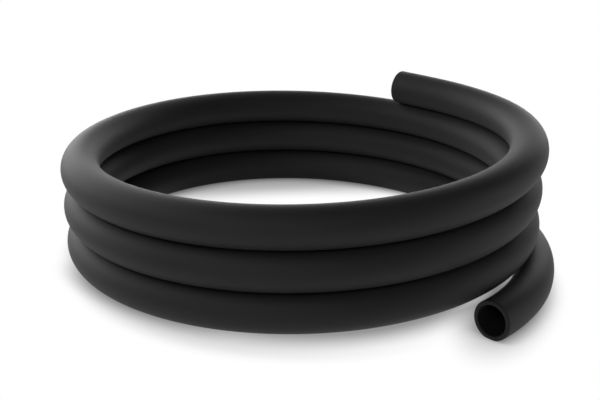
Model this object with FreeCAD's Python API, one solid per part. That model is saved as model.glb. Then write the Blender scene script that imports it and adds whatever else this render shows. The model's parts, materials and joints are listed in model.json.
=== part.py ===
import FreeCAD, Part
import math
import os

# A length of soaker hose lying in a coil of three stacked turns, cut square and bare at both ends.
# Millimetres and degrees. Angles go counter-clockwise seen from above, from +X, and keep
# growing from turn to turn. The hose lies on the floor, z = 0, and its coil's axis is upright.

# The hose.
HOSE_DIAMETER = 20.5
WALL = 2.3
END_ROUND = 0.4

# The coil: every turn has the same radius and sits on the turn below it. The first turn lies
# flat from where the climb before it would end to CLIMB_START, and each turn then steps up
# by one hose diameter and a gap, over the free end below it, until CLIMB_END.
COIL_RADIUS = 121.5
COIL_TURNS = 3
TURN_GAP = 0.6
CLIMB_START = 195.0
CLIMB_END = 385.0

# The underside of what lies on the floor is pressed flat by this much.
FLOOR_FLAT = 0.5

# The coil's own two ends, before its straight bits: angle on its first turn, outward offset.
COIL_START = (36.6, 0.8)
COIL_END = (21.9, -1.8)

# The free ends' routes, from the open end to the coil: angle, outward offset from the coil's
# circle. The lower end swings out from under the coil and lies on the floor beside it. The
# upper end follows the turn that it lies on, and its angles count from the last full turn.
LOWER_ROUTE = [
    (-50.0, 18.9),
    (-38.3, 17.7),
    (-26.5, 15.1),
    (-14.4, 11.1),
    (-2.5, 8.3),
    (9.3, 5.1),
    (20.2, 1.8),
]
UPPER_ROUTE = [
    (60.8, 4.2),
    (46.2, 0.8),
]

# A bend takes this share of the shorter of its two runs on each side.
BEND_SHARE = 0.45

# Spacing of the points on which the least gap is measured.
GAP_STEP = 4.0

HOSE_RADIUS = HOSE_DIAMETER / 2
BORE_RADIUS = HOSE_RADIUS - WALL
PITCH = HOSE_DIAMETER + TURN_GAP
CLIMB = CLIMB_END - CLIMB_START
REST_HEIGHT = HOSE_RADIUS - FLOOR_FLAT
TOP_TURN = 360.0 * COIL_TURNS
LEVEL_MIDDLE = (CLIMB_END - 360 + CLIMB_START) / 2
CLIMB_MIDDLE = (CLIMB_START + CLIMB_END) / 2


def climb_done(angle):
    """Climbs finished at an angle, and the share of the one under way."""
    turns = (angle - CLIMB_START) / 360
    if turns < 0:
        return 0, 0.0
    whole = math.floor(turns)
    return whole, min((turns - whole) * 360 / CLIMB, 1.0)


def stack_height(angle):
    """Height of the hose's centreline: level, then a smooth step up once a turn."""
    whole, share = climb_done(angle)
    return REST_HEIGHT + PITCH * (whole + share * share * (3 - 2 * share))


def on_coil(angle, outward=0.0):
    """Point of the centreline at an angle, moved outward from the coil's circle."""
    radius = COIL_RADIUS + outward
    turn = math.radians(angle)
    return FreeCAD.Vector(radius * math.cos(turn), radius * math.sin(turn), stack_height(angle))


def heading(angle):
    """Direction of the centreline on the coil's circle."""
    share = climb_done(angle)[1]
    rise = PITCH * 6 * share * (1 - share) / math.radians(CLIMB)
    turn = math.radians(angle)
    way = FreeCAD.Vector(-COIL_RADIUS * math.sin(turn), COIL_RADIUS * math.cos(turn), rise)
    return way.normalize()


def direction(start, end):
    return (end - start).normalize()


def corner_arc(start, corner, end):
    """Arc that touches start-corner at start and corner-end at end, and its radius."""
    middle = (start + end) / 2
    side = start.distanceToPoint(corner)
    sine = start.distanceToPoint(middle) / side
    cosine = math.sqrt(1 - sine * sine)
    top = corner + direction(corner, middle) * (side * (1 - sine) / cosine)
    return Part.Arc(start, top, end).toShape(), side * sine / cosine


def biarc(start, start_way, end, end_way):
    """Two arcs, tangent to each other, between two points with given directions."""
    chord = end - start
    both = start_way + end_way
    spread = 2 * (1 - start_way.dot(end_way))
    across = chord.dot(both)
    reach = (math.sqrt(across * across + spread * chord.dot(chord)) - across) / spread
    first_corner = start + start_way * reach
    second_corner = end - end_way * reach
    joint = (first_corner + second_corner) / 2
    first, first_radius = corner_arc(start, first_corner, joint)
    second, second_radius = corner_arc(joint, second_corner, end)
    return [first, second], [first_radius, second_radius]


def line(start, end):
    return Part.LineSegment(start, end).toShape()


def coil_stations():
    """Angles where the coil's arcs meet, up to the last climb, which ends at the coil's end."""
    stations = []
    for turn in range(COIL_TURNS):
        for angle in (LEVEL_MIDDLE, CLIMB_START, CLIMB_MIDDLE, CLIMB_END):
            stations.append(angle + 360 * turn)
    return stations[:-1]


def coil_ends():
    """Where the coil's bends begin and end, and its directions there."""
    start = on_coil(*COIL_START)
    lower_corner = on_coil(*LOWER_ROUTE[-1])
    end = on_coil(COIL_END[0] + TOP_TURN, COIL_END[1])
    upper_corner = on_coil(UPPER_ROUTE[-1][0] + TOP_TURN, UPPER_ROUTE[-1][1])
    return start, direction(lower_corner, start), end, direction(end, upper_corner)


def coil_path(extra=0.0):
    """The coil's centreline: a straight diameter, its turns, and a straight diameter."""
    start, start_way, end, end_way = coil_ends()
    points = [start] + [on_coil(angle) for angle in coil_stations()] + [end]
    ways = [start_way] + [heading(angle) for angle in coil_stations()] + [end_way]
    straight = HOSE_DIAMETER + extra
    edges = [line(start - start_way * straight, start)]
    radii = []
    for index in range(len(points) - 1):
        pair, pair_radii = biarc(points[index], ways[index], points[index + 1], ways[index + 1])
        edges += pair
        radii += pair_radii
    edges.append(line(end, end + end_way * straight))
    return Part.Wire(edges), radii


def route_path(points, extra=0.0):
    """Straight runs joined by tangent arcs, each as large as its two runs allow."""
    runs = [points[index].distanceToPoint(points[index + 1]) for index in range(len(points) - 1)]
    ways = [direction(points[index], points[index + 1]) for index in range(len(points) - 1)]
    edges = []
    radii = []
    here = points[0] - ways[0] * extra
    for index in range(1, len(points) - 1):
        reach = BEND_SHARE * min(runs[index - 1], runs[index])
        bend_start = points[index] - ways[index - 1] * reach
        bend_end = points[index] + ways[index] * reach
        bend, radius = corner_arc(bend_start, points[index], bend_end)
        edges += [line(here, bend_start), bend]
        radii.append(radius)
        here = bend_end
    edges.append(line(here, points[-1] + ways[-1] * extra))
    return Part.Wire(edges), radii


def lower_points():
    """The lower free end's route, which meets the coil's straight bit face to face."""
    start, start_way = coil_ends()[:2]
    return [on_coil(*place) for place in LOWER_ROUTE] + [start - start_way * HOSE_DIAMETER]


def upper_points():
    """The upper free end's route, which meets the coil's straight bit face to face."""
    end, end_way = coil_ends()[2:]
    places = [on_coil(angle + TOP_TURN, outward) for angle, outward in UPPER_ROUTE]
    return places + [end + end_way * HOSE_DIAMETER]


def sweep(path, radius):
    """Round bar of a radius along a path."""
    first = path.OrderedEdges[0]
    start = first.valueAt(first.FirstParameter)
    way = first.tangentAt(first.FirstParameter)
    pipe = Part.BRepOffsetAPI.MakePipeShell(path)
    pipe.add(Part.Wire(Part.Circle(start, way, radius).toShape()))
    pipe.build()
    pipe.makeSolid()
    return pipe.shape()


def hollow(path_maker, open_end=None):
    """Hose along a path: the outer bar less the bore, with the open end's edges eased."""
    overrun = HOSE_RADIUS
    tube = sweep(path_maker(0.0)[0], HOSE_RADIUS).cut(sweep(path_maker(overrun)[0], BORE_RADIUS))
    if open_end:
        rim = [edge for edge in tube.Edges if is_rim(edge, open_end)]
        tube = tube.makeFillet(END_ROUND, rim)
    return tube


def is_rim(edge, point):
    """True for the circles of a cut end that is centred on a point."""
    if not isinstance(edge.Curve, Part.Circle):
        return False
    full_turn = abs(edge.Length - 2 * math.pi * edge.Curve.Radius) < 0.01
    return full_turn and edge.Curve.Center.distanceToPoint(point) < 0.01


def rest_on_floor(tube):
    """Takes off what would reach below the floor."""
    reach = 2 * (COIL_RADIUS + HOSE_DIAMETER)
    corner = FreeCAD.Vector(-reach, -reach, -HOSE_DIAMETER)
    return tube.cut(Part.makeBox(2 * reach, 2 * reach, HOSE_DIAMETER, corner))


def centreline(lower, coil, upper):
    """Points along the whole hose, from the lower open end, each with its distance from there."""
    found = []
    travelled = 0.0
    for wire, backwards in ((lower, False), (coil, False), (upper, True)):
        count = int(wire.Length / GAP_STEP) + 1
        points = wire.discretize(Number=count + 1)
        if backwards:
            points.reverse()
        found += [(travelled + wire.Length * step / count, point) for step, point in enumerate(points)]
        travelled += wire.Length
    return found


def least_gap(points):
    """Least gap between stretches of the hose that aren't neighbours along it."""
    apart = math.pi * COIL_RADIUS
    gaps = []
    for index, (first_distance, first) in enumerate(points):
        for second_distance, second in points[index + 1:]:
            if second_distance - first_distance > apart:
                gaps.append(first.distanceToPoint(second) - HOSE_DIAMETER)
    return min(gaps)


def report(name, tube, wire, radii):
    section = math.pi * (HOSE_RADIUS ** 2 - BORE_RADIUS ** 2)
    share = tube.Volume / (section * wire.Length)
    print(name, "length %.1f mm, volume over section times length %.4f" % (wire.Length, share))
    print(name, "bend radii", ", ".join("%.1f" % radius for radius in radii), "mm")


def straight_end(points):
    """Length of the straight bit at an open end, before its first bend."""
    first = points[0].distanceToPoint(points[1])
    return first - BEND_SHARE * min(first, points[1].distanceToPoint(points[2]))


def main():
    os.makedirs("parts", exist_ok=True)
    lower = lower_points()
    upper = upper_points()
    makers = {
        "lower_free_end": (lambda extra: route_path(lower, extra), lower[0], True),
        "coil": (coil_path, None, True),
        "upper_free_end": (lambda extra: route_path(upper, extra), upper[0], False),
    }
    tubes = {}
    wires = {}
    for name, (path_maker, open_end, on_floor) in makers.items():
        tubes[name] = hollow(path_maker, open_end)
        wires[name], radii = path_maker(0.0)
        report(name, tubes[name], wires[name], radii)
        if on_floor:
            tubes[name] = rest_on_floor(tubes[name])
    points = centreline(wires["lower_free_end"], wires["coil"], wires["upper_free_end"])
    print("whole hose %.1f mm, least gap to itself %.2f mm" % (points[-1][0], least_gap(points)))

    # The part's origin is the middle of its box, on the floor.
    box = Part.makeCompound(list(tubes.values())).optimalBoundingBox(False)
    middle = FreeCAD.Vector(box.Center.x, box.Center.y, box.ZMin)
    for name, tube in tubes.items():
        tube.translate(middle * -1)
        tube.exportStep("parts/%s.step" % name)
    for name, route in (("lower", lower), ("upper", upper)):
        way = direction(route[1], route[0])
        wall = straight_end(route) - END_ROUND
        wall_middle = route[0] - middle - way * (END_ROUND + wall / 2)
        print(name, "end's straight wall is %.3f mm long, its middle at" % wall,
              [round(value, 6) for value in wall_middle], "mm, facing",
              [round(value, 9) for value in way])
    print("coil axis at %.3f, %.3f mm" % (-middle.x, -middle.y))
    print("size %.2f x %.2f x %.2f mm" % (box.XLength, box.YLength, box.ZLength))


main()
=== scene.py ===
# %% [markdown]
# The object is a bare length of soaker hose: one extruded tube of black rubber, cut square at both
# ends. It lies in three stacked turns. Its lower end swings out over the floor, and its upper end
# lies on the turn below it.
# Blender could model it freely, but the hose has a real size that fittings depend on. So the packed
# model is loaded first, and the sizes of the hose and the place of its coil are taken from it.

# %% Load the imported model
import json
import math

import bmesh
import bpy
from mathutils import Matrix, Vector


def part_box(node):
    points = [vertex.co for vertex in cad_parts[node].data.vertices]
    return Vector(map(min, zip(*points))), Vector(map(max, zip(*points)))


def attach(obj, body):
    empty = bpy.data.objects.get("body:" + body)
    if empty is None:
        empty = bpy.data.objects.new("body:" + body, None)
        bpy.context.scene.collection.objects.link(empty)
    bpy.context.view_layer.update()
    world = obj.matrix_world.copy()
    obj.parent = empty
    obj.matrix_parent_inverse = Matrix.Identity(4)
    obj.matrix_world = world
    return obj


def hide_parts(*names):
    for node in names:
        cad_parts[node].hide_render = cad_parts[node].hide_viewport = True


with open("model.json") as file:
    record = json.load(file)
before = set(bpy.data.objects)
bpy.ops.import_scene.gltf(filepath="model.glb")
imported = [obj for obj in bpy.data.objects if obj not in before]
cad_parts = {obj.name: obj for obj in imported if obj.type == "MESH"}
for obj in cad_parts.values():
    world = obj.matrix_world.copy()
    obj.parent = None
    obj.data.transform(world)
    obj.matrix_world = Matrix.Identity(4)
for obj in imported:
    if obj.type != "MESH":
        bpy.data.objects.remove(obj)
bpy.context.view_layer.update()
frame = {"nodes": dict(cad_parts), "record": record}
scene = bpy.context.scene

# %% [markdown]
# A hose is described by two diameters, outside and bore, because its couplings are made for them.
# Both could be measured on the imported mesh. They are read from the mounts instead, which state them
# as a fitting's maker would. The coil's middle line is a circle, and the coil's box gives its axis.

# %% Sizes of the hose and the coil
MILLIMETRE = 0.001
COIL_RADIUS = 121.5 * MILLIMETRE

mounts = {mount["name"]: mount for mount in frame["record"]["mounts"]}
hose_radius = mounts["lower_outside"]["dims"]["r_mm"] * MILLIMETRE
bore_radius = mounts["lower_bore"]["dims"]["r_mm"] * MILLIMETRE
rest_height = mounts["lower_outside"]["pos_m"][2]

coil_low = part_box("coil")[0]
coil_reach = COIL_RADIUS + hose_radius
coil_axis = Vector((coil_low.x + coil_reach, coil_low.y + coil_reach, 0.0))

# %% [markdown]
# The camera comes before any shape, because every later choice is compared with the photograph
# through it. A camera can be placed by eye. This one was worked out from the outlines of the coil,
# whose turns are near circles: their ellipses give the height, the distance and the slight tilt.
# Three turns about single axes are easier to read than one finished matrix.

# %% Place the camera
CAMERA_PLACE = Vector((0.0, -513.5, 221.6)) * MILLIMETRE
LOOK_DOWN = 0.3598
TURN = 0.0019
TILT = 0.0345
LENS = 57.828
SENSOR_WIDTH = 36.0

camera_data = bpy.data.cameras.new("studio_camera")
camera_data.lens = LENS
camera_data.sensor_width = SENSOR_WIDTH
camera = bpy.data.objects.new("studio_camera", camera_data)
scene.collection.objects.link(camera)
look = Matrix.Rotation(TURN, 4, "Z") @ Matrix.Rotation(math.pi / 2 - LOOK_DOWN, 4, "X")
camera.matrix_world = (
    Matrix.Translation(coil_axis + CAMERA_PLACE) @ look @ Matrix.Rotation(TILT, 4, "Z")
)
scene.camera = camera
print("camera at", tuple(round(value, 4) for value in camera.location))

# %% [markdown]
# A coiled hose does not climb like a screw. Its first turn lies flat on the floor for a third of
# the way round, then climbs one hose's height over its own start, and the next turns repeat that.
# A helix would be shorter to write but would leave the whole first turn in the air. A level stretch
# and a smooth step give the stack that gravity makes. The stack also leans a little to the left.

# %% How high the stack is at each angle
STACK_STEP = 20.6 * MILLIMETRE
CLIMB_START = 150.0
CLIMB_END = 390.0
LEAN_PER_TURN = -0.8 * MILLIMETRE
COIL_TURNS = 3
TURN_DEGREES = 360.0


def smooth_step(share):
    """Eases a share between 0 and 1, so that a climb starts and ends level."""
    return share * share * (3 - 2 * share)


def stack_height(angle):
    """Height of the hose's middle line, at an angle in degrees counted on from turn to turn."""
    if angle < CLIMB_START:
        return rest_height
    turns, beyond = divmod(angle - CLIMB_START, TURN_DEGREES)
    share = min(1.0, beyond / (CLIMB_END - CLIMB_START))
    return rest_height + STACK_STEP * (turns + smooth_step(share))


last_climb_end = CLIMB_END + (COIL_TURNS - 1) * TURN_DEGREES
print("top of the stack:", round(stack_height(last_climb_end) + hose_radius, 4))

# %% [markdown]
# The free ends were laid by hand, so no formula gives them. Each is a short list of points, chosen
# on the photograph: an angle round the coil in degrees, and how far outside the coil's circle the
# hose lies there, in millimetres.
# The turns between them are a loop. A smooth curve of order 3 passes its control points at 3/4 of
# the way out from the chord of their neighbours, so those of the turns stand a little further out
# than the circle that the hose follows.

# %% The route of the hose
LOWER_END = [
    (-49, 16.7), (-44.3, 16.6), (-32, 14.2), (-20, 10.9), (-8, 8.5), (4, 5.9), (16, 3.3),
]
UPPER_END = [
    (-52, 0.7), (-40, 1.1), (-28, 1.5), (-16, 2.1), (-4, 3.0),
    (8, 3.5), (20, 2.4), (33, -0.1), (46.2, -1.9), (58.6, -2.1),
]
COIL_FIRST = 32
COIL_LAST = 1016
COIL_STRIDE = 12
TOP_TURN = COIL_TURNS * TURN_DEGREES
inside_cut = 0.75 + 0.25 * math.cos(math.radians(COIL_STRIDE))


def coil_point(angle, radius):
    """The point at an angle and a distance from the coil's axis, at the stack's height there."""
    turned = math.radians(angle)
    height = stack_height(angle)
    lean = LEAN_PER_TURN * ((height - rest_height) / STACK_STEP - COIL_TURNS / 2)
    sideways = Vector((math.cos(turned), math.sin(turned), 0.0)) * radius
    return coil_axis + sideways + Vector((lean, 0.0, height))


route = [coil_point(angle, COIL_RADIUS + out * MILLIMETRE) for angle, out in LOWER_END]
for angle in range(COIL_FIRST, COIL_LAST + 1, COIL_STRIDE):
    route.append(coil_point(angle, COIL_RADIUS / inside_cut))
for angle, out in UPPER_END:
    route.append(coil_point(TOP_TURN + angle, COIL_RADIUS + out * MILLIMETRE))
print(len(route), "points in the route")

# %% [markdown]
# The hose's middle line is one smooth NURBS curve through that route. Straight runs joined by arcs
# would look like bent wire, while this curve changes its bend evenly, as rubber does.
# Blender works the curve out, and its points are read back as a mesh of one line. The order and
# the end setting are given after the points, because given before them they have no effect.

# %% The middle line
LINE_DETAIL = 6
LINE_ORDER = 3


def smooth_line(points, name):
    """The points of a NURBS curve with these control points, with no thickness of its own."""
    data = bpy.data.curves.new(name, "CURVE")
    data.dimensions = "3D"
    data.resolution_u = LINE_DETAIL
    spline = data.splines.new("NURBS")
    spline.points.add(len(points) - 1)
    for control, point in zip(spline.points, points):
        control.co = (point.x, point.y, point.z, 1.0)
    spline.order_u = LINE_ORDER
    spline.use_endpoint_u = True
    holder = bpy.data.objects.new(name, data)
    line = bpy.data.meshes.new_from_object(holder)
    found = [vertex.co.copy() for vertex in line.vertices]
    bpy.data.meshes.remove(line)
    bpy.data.objects.remove(holder)
    bpy.data.curves.remove(data)
    return found


centreline = smooth_line(route, "hose_line")
hose_length = sum((end - start).length for start, end in zip(centreline, centreline[1:]))
print(len(centreline), "points on the line, hose length", round(hose_length, 4))

# %% [markdown]
# The tube could be the curve's own bevel, but a bevel has no bore and no lips. Here it is one
# closed skin of rings: along the outside from the lower end to the upper, round that lip, back
# along the bore, and round the other lip to the start.
# A knife leaves the outer edge of a rubber hose a little rounded, wider than the edge of the bore.

# %% Rings of the tube
RING_CORNERS = 48
OUTER_LIP = 0.8 * MILLIMETRE
BORE_LIP = 0.4 * MILLIMETRE
LIP_STEPS = 5
LIP_MARGIN = 0.25 * MILLIMETRE
FLAT_SHARES = (0.15, 0.5, 0.85)
WALL, CUT, BORE = range(3)


def lip_profile():
    """The lip, from the outside into the bore: distance back from the cut, radius and surface."""
    bends = [math.pi / 2 * step / LIP_STEPS for step in range(LIP_STEPS + 1)]
    profile = [(OUTER_LIP + LIP_MARGIN, hose_radius, WALL)]
    for bend in bends:
        back = OUTER_LIP * (1 - math.sin(bend))
        profile.append((back, hose_radius - OUTER_LIP * (1 - math.cos(bend)), CUT))
    flat_outer = hose_radius - OUTER_LIP
    flat_inner = bore_radius + BORE_LIP
    for share in FLAT_SHARES:
        profile.append((0.0, flat_outer + (flat_inner - flat_outer) * share, CUT))
    for bend in bends:
        back = BORE_LIP * (1 - math.cos(bend))
        profile.append((back, bore_radius + BORE_LIP * (1 - math.sin(bend)), CUT))
    profile.append((BORE_LIP + LIP_MARGIN, bore_radius, BORE))
    return profile


def tube_sections(line):
    """Every ring of the closed skin, in order: its middle, direction, radius and surface."""
    directions = [(after - before).normalized() for before, after in zip(line, line[1:])]
    start_way, end_way = directions[0], directions[-1]
    ways = [start_way]
    for before, after in zip(directions, directions[1:]):
        ways.append((before + after).normalized())
    ways.append(end_way)
    along = list(zip(line, ways))[1:-1]
    sections = [(middle, way, hose_radius, WALL) for middle, way in along]
    for back, radius, surface in lip_profile():
        sections.append((line[-1] - end_way * back, end_way, radius, surface))
    sections += [(middle, way, bore_radius, BORE) for middle, way in reversed(along)]
    for back, radius, surface in reversed(lip_profile()):
        sections.append((line[0] + start_way * back, start_way, radius, surface))
    return sections


sections = tube_sections(centreline)
print(len(sections), "rings of", RING_CORNERS, "corners")

# %% [markdown]
# A real hose is drawn through a die, so its section never twists on the way. A frame carried along
# the line would twist a little more with every turn of the climb. So each ring is set by its own
# direction and the vertical alone, and one band of quads joins it to the next.
# Where a ring would dip under the floor, its corners rest on it, as the weight of the coil makes
# the real hose do. A band between two surfaces belongs to the cut.

# %% Skin the rings
UP = Vector((0.0, 0.0, 1.0))


def add_ring(mesh, middle, way, radius):
    """The corners of one ring, upright and square to the line."""
    side = way.cross(UP).normalized()
    top = side.cross(way)
    corners = []
    for step in range(RING_CORNERS):
        turned = 2 * math.pi * step / RING_CORNERS
        corner = middle + (side * math.cos(turned) + top * math.sin(turned)) * radius
        corner.z = max(corner.z, 0.0)
        corners.append(mesh.verts.new(corner))
    return corners


def make_tube(name, sections):
    """One closed mesh through all the rings, the last ring joined to the first."""
    mesh = bmesh.new()
    rings = [add_ring(mesh, middle, way, radius) for middle, way, radius, _ in sections]
    surfaces = [surface for _, _, _, surface in sections]
    for index, ring in enumerate(rings):
        following = (index + 1) % len(rings)
        band = max(surfaces[index], surfaces[following], key=(WALL, BORE, CUT).index)
        for corner in range(RING_CORNERS):
            beside = (corner + 1) % RING_CORNERS
            quad = (ring[corner], ring[beside], rings[following][beside], rings[following][corner])
            face = mesh.faces.new(quad)
            face.material_index = band
            face.smooth = True
    bmesh.ops.recalc_face_normals(mesh, faces=mesh.faces)
    data = bpy.data.meshes.new(name)
    mesh.to_mesh(data)
    mesh.free()
    tube = bpy.data.objects.new(name, data)
    scene.collection.objects.link(tube)
    return tube


hose = make_tube("hose", sections)
print("hose:", len(hose.data.vertices), "corners,", len(hose.data.polygons), "faces")

# %% [markdown]
# The look of rubber and the shade on a floor are made here by chains of shader nodes. A picture
# painted for each would do too, but nodes need no file and stay sharp at any size. They could be
# written out one by one, with the same few lines for each. So three helpers make one node each: a
# sum or a product, a range of values turned into another, and noise. Each takes plain numbers or
# the outputs of other nodes.

# %% Helpers that make one node each
def feed(link, socket, given):
    """Links a node's output to a socket, or writes a plain value into it."""
    if isinstance(given, bpy.types.NodeSocket):
        link(given, socket)
    else:
        socket.default_value = given


def value_node(nodes, link, operation, *given):
    """A Math node that works on the values given."""
    node = nodes.new("ShaderNodeMath")
    node.operation = operation
    for socket, value in zip(node.inputs, given):
        feed(link, socket, value)
    return node.outputs[0]


def range_node(nodes, link, value, start, stop, low, high, curve="LINEAR"):
    """A Map Range node: start to stop becomes low to high, clamped at both ends."""
    node = nodes.new("ShaderNodeMapRange")
    node.interpolation_type = curve
    titles = ("Value", "From Min", "From Max", "To Min", "To Max")
    for title, given in zip(titles, (value, start, stop, low, high)):
        feed(link, node.inputs[title], given)
    return node.outputs["Result"]


def noise_node(nodes, link, place, scale, detail):
    """A Noise Texture node at this place of the surface."""
    node = nodes.new("ShaderNodeTexNoise")
    for title, given in (("Vector", place), ("Scale", scale), ("Detail", detail)):
        feed(link, node.inputs[title], given)
    return node.outputs["Fac"]


print("helpers:", [helper.__name__ for helper in (value_node, range_node, noise_node)])

# %% [markdown]
# Seen close, extruded crumb rubber is never quite even: its skin has a very fine grain, and its
# black drifts a little from place to place. A photographed texture would carry both, but noise
# needs no picture and keeps its real size. All the hose's surfaces share it, at different
# strengths, so it is built once as a shader node group and placed in each material. The group
# gives out only what varies over the surface.

# %% A node group for crumb rubber
GRAIN_DETAIL = 3.0
DRIFT_SCALE = 35.0
DRIFT_DETAIL = 2.0
PLAIN_RUBBER = {"Grain Scale": 2500.0, "Drift": 0.1, "Roughness": 0.5, "Spread": 0.05}


def add_sockets(sockets):
    """What the group takes in and gives out, with a plain black rubber's values to start from."""
    colour = sockets.new_socket("Colour", in_out="INPUT", socket_type="NodeSocketColor")
    colour.default_value = (0.02, 0.02, 0.02, 1.0)
    for title, value in PLAIN_RUBBER.items():
        socket = sockets.new_socket(title, in_out="INPUT", socket_type="NodeSocketFloat")
        socket.default_value = value
    sockets.new_socket("Colour", in_out="OUTPUT", socket_type="NodeSocketColor")
    sockets.new_socket("Roughness", in_out="OUTPUT", socket_type="NodeSocketFloat")
    sockets.new_socket("Height", in_out="OUTPUT", socket_type="NodeSocketFloat")


def crumb_rubber_group():
    """The grain, the drift of the black, and the roughness that follows the grain."""
    group = bpy.data.node_groups.new("crumb_rubber", "ShaderNodeTree")
    add_sockets(group.interface)
    nodes, link = group.nodes, group.links.new
    given = nodes.new("NodeGroupInput").outputs
    result = nodes.new("NodeGroupOutput").inputs
    place = nodes.new("ShaderNodeTexCoord").outputs["Object"]
    grain = noise_node(nodes, link, place, given["Grain Scale"], GRAIN_DETAIL)
    drift = noise_node(nodes, link, place, DRIFT_SCALE, DRIFT_DETAIL)
    darker = value_node(nodes, link, "SUBTRACT", 1.0, given["Drift"])
    paler = value_node(nodes, link, "ADD", 1.0, given["Drift"])
    shade = nodes.new("ShaderNodeVectorMath")
    shade.operation = "SCALE"
    link(given["Colour"], shade.inputs[0])
    link(range_node(nodes, link, drift, 0.0, 1.0, darker, paler), shade.inputs["Scale"])
    uneven = value_node(nodes, link, "MULTIPLY_ADD", grain, given["Spread"], given["Roughness"])
    link(shade.outputs["Vector"], result["Colour"])
    link(uneven, result["Roughness"])
    link(grain, result["Height"])
    return group


crumb_rubber = crumb_rubber_group()
print("node group", crumb_rubber.name, "with", len(crumb_rubber.nodes), "nodes")

# %% [markdown]
# The hose has three finishes. Its outside was drawn through a polished die and is matt but even.
# Its cut ends show the inside of the rubber, coarser and duller. Its bore was never touched and is
# a little rougher. Its black is set darker than the outside's as painted shade, because it lies in
# the dark. One material could serve all three, but the cut would then look moulded. So each has its
# own black, grain, roughness and depth of grain, in the same group.

# %% The three finishes, with painted shade in the bore
SPECULAR = 0.25
BUMP_STRENGTH = 0.3
FINISHES = {
    "wall_rubber": {"black": 0.017, "grain": 2600.0, "roughness": 0.63, "depth": 0.03},
    "cut_rubber": {"black": 0.020, "grain": 1600.0, "roughness": 0.66, "depth": 0.08},
    # The bore's black is set darker than the outside's: painted shade for the dark inside of the
    # tube.
    "bore_rubber_with_painted_shade": {"black": 0.012, "grain": 1900.0, "roughness": 0.66, "depth": 0.06},
}


def rubber(name, black, grain, roughness, depth):
    """A rubber material; the depth of its grain is in millimetres."""
    material = bpy.data.materials.new(name)
    material.use_nodes = True
    nodes, link = material.node_tree.nodes, material.node_tree.links.new
    shader = nodes["Principled BSDF"]
    shader.inputs["Specular IOR Level"].default_value = SPECULAR
    surface = nodes.new("ShaderNodeGroup")
    surface.node_tree = crumb_rubber
    surface.inputs["Colour"].default_value = (black, black, black, 1.0)
    surface.inputs["Grain Scale"].default_value = grain
    surface.inputs["Roughness"].default_value = roughness
    bump = nodes.new("ShaderNodeBump")
    bump.inputs["Strength"].default_value = BUMP_STRENGTH
    bump.inputs["Distance"].default_value = depth * MILLIMETRE
    link(surface.outputs["Colour"], shader.inputs["Base Color"])
    link(surface.outputs["Roughness"], shader.inputs["Roughness"])
    link(surface.outputs["Height"], bump.inputs["Height"])
    link(bump.outputs["Normal"], shader.inputs["Normal"])
    return material


finishes = [rubber(name, **values) for name, values in FINISHES.items()]
for finish in finishes:
    hose.data.materials.append(finish)
for node in frame["nodes"].values():
    node.data.materials.clear()
    node.data.materials.append(finishes[WALL])
print("finishes:", [finish.name for finish in hose.data.materials])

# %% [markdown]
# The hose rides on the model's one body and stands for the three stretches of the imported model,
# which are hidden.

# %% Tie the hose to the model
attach(hose, "root")
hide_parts("lower_free_end", "coil", "upper_free_end")
print("free ends at", [tuple(round(value, 3) for value in centreline[end]) for end in (0, -1)])

# %% [markdown]
# Inside the turns the floor has two wide shades. The strongest lamps stand low behind the hose, so
# the back wall of the coil shades the floor in front of it, more to the left than to the right. The
# front wall hovers a little over the floor, where the turn climbs, and keeps the light of the sky
# off it. Both are soft bands, one across the back and one round the front. Lamps alone could cast
# them, but a floor bright enough to look white in the picture would then light up the black hose.

# %% Shade inside the turns
BACK_SHADE_MIDDLE = coil_axis + Vector((95.0, -400.0, 0.0)) * MILLIMETRE
BACK_SHADE_CLEAR = 484.6 * MILLIMETRE
BACK_SHADE_DARK = 517.4 * MILLIMETRE
BACK_SHADE_DARKEST = 0.417
UNDER_TURNS = (116 * MILLIMETRE, 126 * MILLIMETRE)
FRONT_SHADE_RADIUS = 104.5 * MILLIMETRE
FRONT_SHADE_REACH = 20.5 * MILLIMETRE
FRONT_SHADE_DARKEST = 0.29
FRONT_HALF = (coil_axis.y - 90 * MILLIMETRE, coil_axis.y + 40 * MILLIMETRE)


def distance_node(nodes, link, place, point):
    """How far a place on the floor is from a point."""
    node = nodes.new("ShaderNodeVectorMath")
    node.operation = "DISTANCE"
    feed(link, node.inputs[0], place)
    feed(link, node.inputs[1], point)
    return node.outputs["Value"]


def back_shade(nodes, link, place):
    """The band across the back, kept inside the turns."""
    along = distance_node(nodes, link, place, BACK_SHADE_MIDDLE)
    ends = (BACK_SHADE_CLEAR, BACK_SHADE_DARK, 1.0, BACK_SHADE_DARKEST)
    band = range_node(nodes, link, along, *ends, "SMOOTHSTEP")
    from_axis = distance_node(nodes, link, place, coil_axis)
    outside = range_node(nodes, link, from_axis, *UNDER_TURNS, 0.0, 1.0)
    return value_node(nodes, link, "MAXIMUM", band, outside)


def front_shade(nodes, link, place):
    """The ring under the inner side of the turns, faded out towards the back."""
    from_axis = distance_node(nodes, link, place, coil_axis)
    off_ring = value_node(nodes, link, "SUBTRACT", from_axis, FRONT_SHADE_RADIUS)
    off_ring = value_node(nodes, link, "ABSOLUTE", off_ring)
    ends = (0.0, FRONT_SHADE_REACH, FRONT_SHADE_DARKEST, 1.0)
    ring = range_node(nodes, link, off_ring, *ends, "SMOOTHSTEP")
    axes = nodes.new("ShaderNodeSeparateXYZ")
    link(place, axes.inputs[0])
    behind = range_node(nodes, link, axes.outputs["Y"], *FRONT_HALF, 0.0, 1.0, "SMOOTHSTEP")
    return value_node(nodes, link, "MAXIMUM", ring, behind)


print("band across the back", round(BACK_SHADE_DARK - BACK_SHADE_CLEAR, 4), "metres deep")

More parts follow.
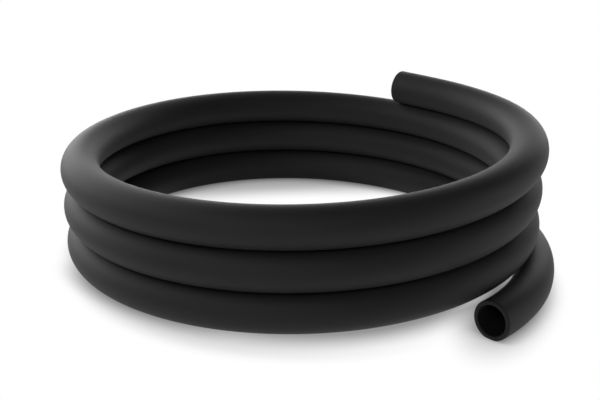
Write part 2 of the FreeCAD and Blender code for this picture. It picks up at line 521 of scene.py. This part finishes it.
# %% [markdown]
# In two places the hose shades the floor more than elsewhere: under the free end, with the stack
# above it, and at the coil's front left, where the coil keeps off the light of the lamps at its
# back right. A soft oval patch along the hose gives each, written as its middle and half its size
# in millimetres from the coil's axis, and its turn in radians. The rest of the shadow is ambient
# occlusion, which counts how much of the sky the hose hides from each place, within a hose's width.
# It needs no drawing: wherever the hose comes near the floor, the shade follows it by itself.

# %% The floor's shadow
SHADOW_REACH = 20 * MILLIMETRE
SKY_SAMPLES = 16
OPEN_SKY = 0.71
DARKEST = 0.244
INNER_SIDE = (110 * MILLIMETRE, 118 * MILLIMETRE)
UNDER_END = {"middle": (107.3, -68.2), "turn": 1.18, "half": (75.0, 29.9)}
FRONT_LEFT = {"middle": (-80.5, -72.0), "turn": 2.473, "half": (69.3, 23.6)}


def oval_shade(nodes, link, place, middle, turn, half):
    """A soft patch, black in its middle and clear at its edge, kept outside the turns."""
    turned = nodes.new("ShaderNodeMapping")
    turned.vector_type = "TEXTURE"
    turned.inputs["Location"].default_value = coil_axis + Vector((*middle, 0.0)) * MILLIMETRE
    turned.inputs["Rotation"].default_value = (0.0, 0.0, turn)
    turned.inputs["Scale"].default_value = (half[0] * MILLIMETRE, half[1] * MILLIMETRE, 1.0)
    link(place, turned.inputs["Vector"])
    oval = nodes.new("ShaderNodeTexGradient")
    oval.gradient_type = "SPHERICAL"
    link(turned.outputs["Vector"], oval.inputs["Vector"])
    patch = range_node(nodes, link, oval.outputs["Fac"], 0.0, 1.0, 1.0, 0.0, "SMOOTHSTEP")
    from_axis = distance_node(nodes, link, place, coil_axis)
    inside = range_node(nodes, link, from_axis, *INNER_SIDE, 1.0, 0.0)
    return value_node(nodes, link, "MAXIMUM", patch, inside)


def floor_shade(nodes, link):
    """How white the floor looks: 1 away from the hose, darker near it and inside the turns."""
    near = nodes.new("ShaderNodeAmbientOcclusion")
    near.samples = SKY_SAMPLES
    near.inputs["Distance"].default_value = SHADOW_REACH
    shade = range_node(nodes, link, near.outputs["AO"], 0.0, OPEN_SKY, DARKEST, 1.0)
    place = nodes.new("ShaderNodeTexCoord").outputs["Object"]
    drawn = [
        back_shade(nodes, link, place),
        front_shade(nodes, link, place),
        oval_shade(nodes, link, place, **UNDER_END),
        oval_shade(nodes, link, place, **FRONT_LEFT),
    ]
    for part in drawn:
        shade = value_node(nodes, link, "MULTIPLY", shade, part)
    return shade


print("shadow reaches", SHADOW_REACH, "metres from the hose")

# %% [markdown]
# A photographer lays the hose on a long sheet of white paper that fills the view. One large square
# does the same, with no edge inside the picture. A lit white floor is never evenly white on camera,
# so to the camera, and in reflections, it shows a white of its own, darkened by the shades above.
# To every other ray it is a plain diffuse sheet, so it gives the hose only the light that the lamps
# put on it. A white background added afterwards would lose the shadow.

# %% The floor
FLOOR_HALF = 6.0
FLOOR_WHITE = (0.8, 0.8, 0.8, 1.0)


def floor_material():
    """Its own white to the camera, and a plain white sheet to the light that falls on the hose."""
    material = bpy.data.materials.new("studio_floor")
    material.use_nodes = True
    nodes, link = material.node_tree.nodes, material.node_tree.links.new
    nodes.clear()
    output = nodes.new("ShaderNodeOutputMaterial")
    plain = nodes.new("ShaderNodeBsdfDiffuse")
    plain.inputs["Color"].default_value = FLOOR_WHITE
    seen = nodes.new("ShaderNodeEmission")
    link(floor_shade(nodes, link), seen.inputs["Strength"])
    path = nodes.new("ShaderNodeLightPath").outputs
    shown = value_node(nodes, link, "MAXIMUM", path["Is Camera Ray"], path["Is Glossy Ray"])
    shown = value_node(nodes, link, "MAXIMUM", shown, path["Is Transmission Ray"])
    mix = nodes.new("ShaderNodeMixShader")
    link(shown, mix.inputs[0])
    link(plain.outputs[0], mix.inputs[1])
    link(seen.outputs[0], mix.inputs[2])
    link(mix.outputs[0], output.inputs["Surface"])
    return material


floor_mesh = bpy.data.meshes.new("floor")
floor_signs = ((-1, -1), (1, -1), (1, 1), (-1, 1))
floor_corners = [(x * FLOOR_HALF, y * FLOOR_HALF, 0.0) for x, y in floor_signs]
floor_mesh.from_pydata(floor_corners, [], [(0, 1, 2, 3)])
floor = bpy.data.objects.new("floor", floor_mesh)
scene.collection.objects.link(floor)
floor.data.materials.append(floor_material())
print("floor", 2 * FLOOR_HALF, "metres across")

# %% [markdown]
# Black rubber shows its form by soft light that slides off it, more than by shade. One lamp would
# leave a hard streak, and a bright white room would turn the black to grey. So plain soft boxes
# stand round the hose in a dim studio: a row of low ones behind it, whose light grazes the turns,
# strongest at the back left, and four higher ones at the back, the left and the front.
# Each place is two angles, up from the floor and round from the camera's side towards the right.

# %% Soft boxes
SOFT_BOX_AWAY = 1.0
SOFT_BOX_WIDTH = 0.5
SOFT_BOX_HEIGHT = 0.36
COIL_MIDDLE = Vector((0.0, 0.0, 0.04))
STUDIO_DIMNESS = 0.06


def soft_box(name, up, round_to, watts):
    """A rectangular lamp that faces the coil and isn't seen itself."""
    lamp = bpy.data.lights.new(name, "AREA")
    lamp.shape = "RECTANGLE"
    lamp.size = SOFT_BOX_WIDTH
    lamp.size_y = SOFT_BOX_HEIGHT
    lamp.energy = watts
    rise, turned = math.radians(up), math.radians(round_to)
    level = math.cos(rise)
    way = Vector((level * math.sin(turned), -level * math.cos(turned), math.sin(rise)))
    holder = bpy.data.objects.new(name, lamp)
    holder.location = COIL_MIDDLE + way * SOFT_BOX_AWAY
    holder.rotation_euler = (-way).to_track_quat("-Z", "Y").to_euler()
    holder.visible_camera = False
    scene.collection.objects.link(holder)
    return holder


soft_boxes = [
    soft_box("right_low", 10, 90, 1.6),
    soft_box("back_right_low", 10, 150, 3.1),
    soft_box("back_low", 10, 180, 1.8),
    soft_box("back_left_low", 10, 210, 4.1),
    soft_box("left_low", 10, 240, 3.0),
    soft_box("back_high", 32, 165, 1.0),
    soft_box("back_left_high", 32, 225, 2.5),
    soft_box("left_high", 32, 285, 2.6),
    soft_box("front_high", 32, 345, 1.8),
]

world = bpy.data.worlds.new("studio")
scene.world = world
world.use_nodes = True
background = world.node_tree.nodes["Background"].inputs
background["Color"].default_value = (1.0, 1.0, 1.0, 1.0)
background["Strength"].default_value = STUDIO_DIMNESS
scene.view_settings.view_transform = "Standard"
all_watts = sum(box.data.energy for box in soft_boxes)
print(len(soft_boxes), "soft boxes,", round(all_watts, 1), "watts")
